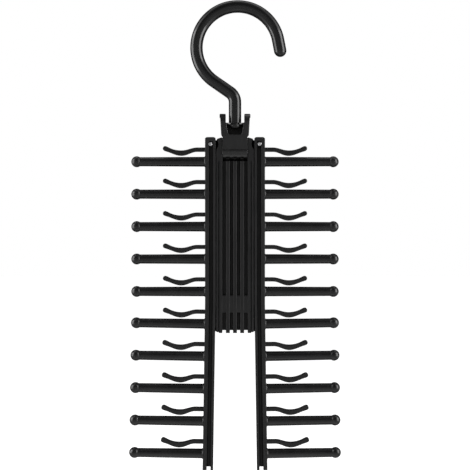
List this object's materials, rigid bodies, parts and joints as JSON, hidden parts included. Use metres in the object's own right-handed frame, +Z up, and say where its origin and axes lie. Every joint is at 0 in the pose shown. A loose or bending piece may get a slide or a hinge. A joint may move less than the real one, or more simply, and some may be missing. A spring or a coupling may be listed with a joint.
{
  "type": "tie hanger",
  "caption": "Tie hanger with a swivel hook on a folding yoke, a ribbed spine and swing-out side racks of ball-ended bars under springy wavy clips.",
  "frame": {"origin": "underside of the hook's crown on the swivel axis, where the closet rod touches", "axes": "+X to the right seen from the front, +Y to the back, +Z up along the swivel axis"},
  "size_m": [0.1486, 0.0115, 0.329],
  "materials": {
    "hook_plastic": "polished moulded black",
    "frame_plastic": "satin moulded black",
    "bar_plastic": "satin moulded black",
    "clip_plastic": "satin moulded black",
    "pin_steel": "plain turned steel"
  },
  "bodies": {
    "hook": {"hook": "hook_plastic", "hook_retainer": "hook_plastic"},
    "yoke": {"yoke": "frame_plastic"},
    "spine": {"spine": "frame_plastic", "fold_pin": "pin_steel", "left_pivot_pin": "pin_steel", "right_pivot_pin": "pin_steel"},
    "left_rack": {"left_rail": "frame_plastic", "left_bar_01": "bar_plastic", "left_bar_02": "bar_plastic", "left_bar_03": "bar_plastic", "left_bar_04": "bar_plastic", "left_bar_05": "bar_plastic", "left_bar_06": "bar_plastic", "left_bar_07": "bar_plastic", "left_bar_08": "bar_plastic", "left_bar_09": "bar_plastic", "left_bar_10": "bar_plastic"},
    "right_rack": {"right_rail": "frame_plastic", "right_bar_01": "bar_plastic", "right_bar_02": "bar_plastic", "right_bar_03": "bar_plastic", "right_bar_04": "bar_plastic", "right_bar_05": "bar_plastic", "right_bar_06": "bar_plastic", "right_bar_07": "bar_plastic", "right_bar_08": "bar_plastic", "right_bar_09": "bar_plastic", "right_bar_10": "bar_plastic"},
    "left_clip_01": {"left_clip_01": "clip_plastic"},
    "left_clip_02": {"left_clip_02": "clip_plastic"},
    "left_clip_03": {"left_clip_03": "clip_plastic"},
    "left_clip_04": {"left_clip_04": "clip_plastic"},
    "left_clip_05": {"left_clip_05": "clip_plastic"},
    "left_clip_06": {"left_clip_06": "clip_plastic"},
    "left_clip_07": {"left_clip_07": "clip_plastic"},
    "left_clip_08": {"left_clip_08": "clip_plastic"},
    "left_clip_09": {"left_clip_09": "clip_plastic"},
    "left_clip_10": {"left_clip_10": "clip_plastic"},
    "right_clip_01": {"right_clip_01": "clip_plastic"},
    "right_clip_02": {"right_clip_02": "clip_plastic"},
    "right_clip_03": {"right_clip_03": "clip_plastic"},
    "right_clip_04": {"right_clip_04": "clip_plastic"},
    "right_clip_05": {"right_clip_05": "clip_plastic"},
    "right_clip_06": {"right_clip_06": "clip_plastic"},
    "right_clip_07": {"right_clip_07": "clip_plastic"},
    "right_clip_08": {"right_clip_08": "clip_plastic"},
    "right_clip_09": {"right_clip_09": "clip_plastic"},
    "right_clip_10": {"right_clip_10": "clip_plastic"}
  },
  "joints": [
    {"name": "hook_swivel", "type": "hinge", "parent": "hook", "child": "yoke", "pos_m": [0, 0, -0.0775], "axis": [0, 0, 1], "continuous": true},
    {"name": "hook_fold", "type": "hinge", "parent": "yoke", "child": "spine", "pos_m": [0, 0, -0.0976], "axis": [1, 0, 0], "range_deg": [-90, 0]},
    {"name": "left_rack_swing", "type": "hinge", "parent": "spine", "child": "left_rack", "pos_m": [-0.0172, 0, -0.0923], "axis": [0, 1, 0], "range_deg": [0, 60]},
    {"name": "right_rack_swing", "type": "hinge", "parent": "spine", "child": "right_rack", "pos_m": [0.0172, 0, -0.0923], "axis": [0, -1, 0], "range_deg": [0, 60]},
    {"name": "tie_clip_left_01", "type": "hinge", "parent": "left_rack", "child": "left_clip_01", "pos_m": [-0.02135, -0.0005, -0.09609], "axis": [0, 1, 0], "range_deg": [-2.5, 10], "stiffness_Nm_per_rad": 0.4},
    {"name": "tie_clip_left_02", "type": "hinge", "parent": "left_rack", "child": "left_clip_02", "pos_m": [-0.02135, -0.0005, -0.11882], "axis": [0, 1, 0], "range_deg": [-2.5, 10], "stiffness_Nm_per_rad": 0.4},
    {"name": "tie_clip_left_03", "type": "hinge", "parent": "left_rack", "child": "left_clip_03", "pos_m": [-0.02135, -0.0005, -0.14155], "axis": [0, 1, 0], "range_deg": [-2.5, 10], "stiffness_Nm_per_rad": 0.4},
    {"name": "tie_clip_left_04", "type": "hinge", "parent": "left_rack", "child": "left_clip_04", "pos_m": [-0.02135, -0.0005, -0.16428], "axis": [0, 1, 0], "range_deg": [-2.5, 10], "stiffness_Nm_per_rad": 0.4},
    {"name": "tie_clip_left_05", "type": "hinge", "parent": "left_rack", "child": "left_clip_05", "pos_m": [-0.02135, -0.0005, -0.18701], "axis": [0, 1, 0], "range_deg": [-2.5, 10], "stiffness_Nm_per_rad": 0.4},
    {"name": "tie_clip_left_06", "type": "hinge", "parent": "left_rack", "child": "left_clip_06", "pos_m": [-0.02144, -0.0005, -0.20968], "axis": [0, 1, 0], "range_deg": [-2.5, 10], "stiffness_Nm_per_rad": 0.4},
    {"name": "tie_clip_left_07", "type": "hinge", "parent": "left_rack", "child": "left_clip_07", "pos_m": [-0.02177, -0.0005, -0.23241], "axis": [0, 1, 0], "range_deg": [-2.5, 10], "stiffness_Nm_per_rad": 0.4},
    {"name": "tie_clip_left_08", "type": "hinge", "parent": "left_rack", "child": "left_clip_08", "pos_m": [-0.02211, -0.0005, -0.25513], "axis": [0, 1, 0], "range_deg": [-2.5, 10], "stiffness_Nm_per_rad": 0.4},
    {"name": "tie_clip_left_09", "type": "hinge", "parent": "left_rack", "child": "left_clip_09", "pos_m": [-0.02245, -0.0005, -0.27786], "axis": [0, 1, 0], "range_deg": [-2.5, 10], "stiffness_Nm_per_rad": 0.4},
    {"name": "tie_clip_left_10", "type": "hinge", "parent": "left_rack", "child": "left_clip_10", "pos_m": [-0.02279, -0.0005, -0.30059], "axis": [0, 1, 0], "range_deg": [-2.5, 10], "stiffness_Nm_per_rad": 0.4},
    {"name": "tie_clip_right_01", "type": "hinge", "parent": "right_rack", "child": "right_clip_01", "pos_m": [0.02135, -0.0005, -0.09609], "axis": [0, -1, 0], "range_deg": [-2.5, 10], "stiffness_Nm_per_rad": 0.4},
    {"name": "tie_clip_right_02", "type": "hinge", "parent": "right_rack", "child": "right_clip_02", "pos_m": [0.02135, -0.0005, -0.11882], "axis": [0, -1, 0], "range_deg": [-2.5, 10], "stiffness_Nm_per_rad": 0.4},
    {"name": "tie_clip_right_03", "type": "hinge", "parent": "right_rack", "child": "right_clip_03", "pos_m": [0.02135, -0.0005, -0.14155], "axis": [0, -1, 0], "range_deg": [-2.5, 10], "stiffness_Nm_per_rad": 0.4},
    {"name": "tie_clip_right_04", "type": "hinge", "parent": "right_rack", "child": "right_clip_04", "pos_m": [0.02135, -0.0005, -0.16428], "axis": [0, -1, 0], "range_deg": [-2.5, 10], "stiffness_Nm_per_rad": 0.4},
    {"name": "tie_clip_right_05", "type": "hinge", "parent": "right_rack", "child": "right_clip_05", "pos_m": [0.02135, -0.0005, -0.18701], "axis": [0, -1, 0], "range_deg": [-2.5, 10], "stiffness_Nm_per_rad": 0.4},
    {"name": "tie_clip_right_06", "type": "hinge", "parent": "right_rack", "child": "right_clip_06", "pos_m": [0.02144, -0.0005, -0.20968], "axis": [0, -1, 0], "range_deg": [-2.5, 10], "stiffness_Nm_per_rad": 0.4},
    {"name": "tie_clip_right_07", "type": "hinge", "parent": "right_rack", "child": "right_clip_07", "pos_m": [0.02177, -0.0005, -0.23241], "axis": [0, -1, 0], "range_deg": [-2.5, 10], "stiffness_Nm_per_rad": 0.4},
    {"name": "tie_clip_right_08", "type": "hinge", "parent": "right_rack", "child": "right_clip_08", "pos_m": [0.02211, -0.0005, -0.25513], "axis": [0, -1, 0], "range_deg": [-2.5, 10], "stiffness_Nm_per_rad": 0.4},
    {"name": "tie_clip_right_09", "type": "hinge", "parent": "right_rack", "child": "right_clip_09", "pos_m": [0.02245, -0.0005, -0.27786], "axis": [0, -1, 0], "range_deg": [-2.5, 10], "stiffness_Nm_per_rad": 0.4},
    {"name": "tie_clip_right_10", "type": "hinge", "parent": "right_rack", "child": "right_clip_10", "pos_m": [0.02279, -0.0005, -0.30059], "axis": [0, -1, 0], "range_deg": [-2.5, 10], "stiffness_Nm_per_rad": 0.4}
  ]
}
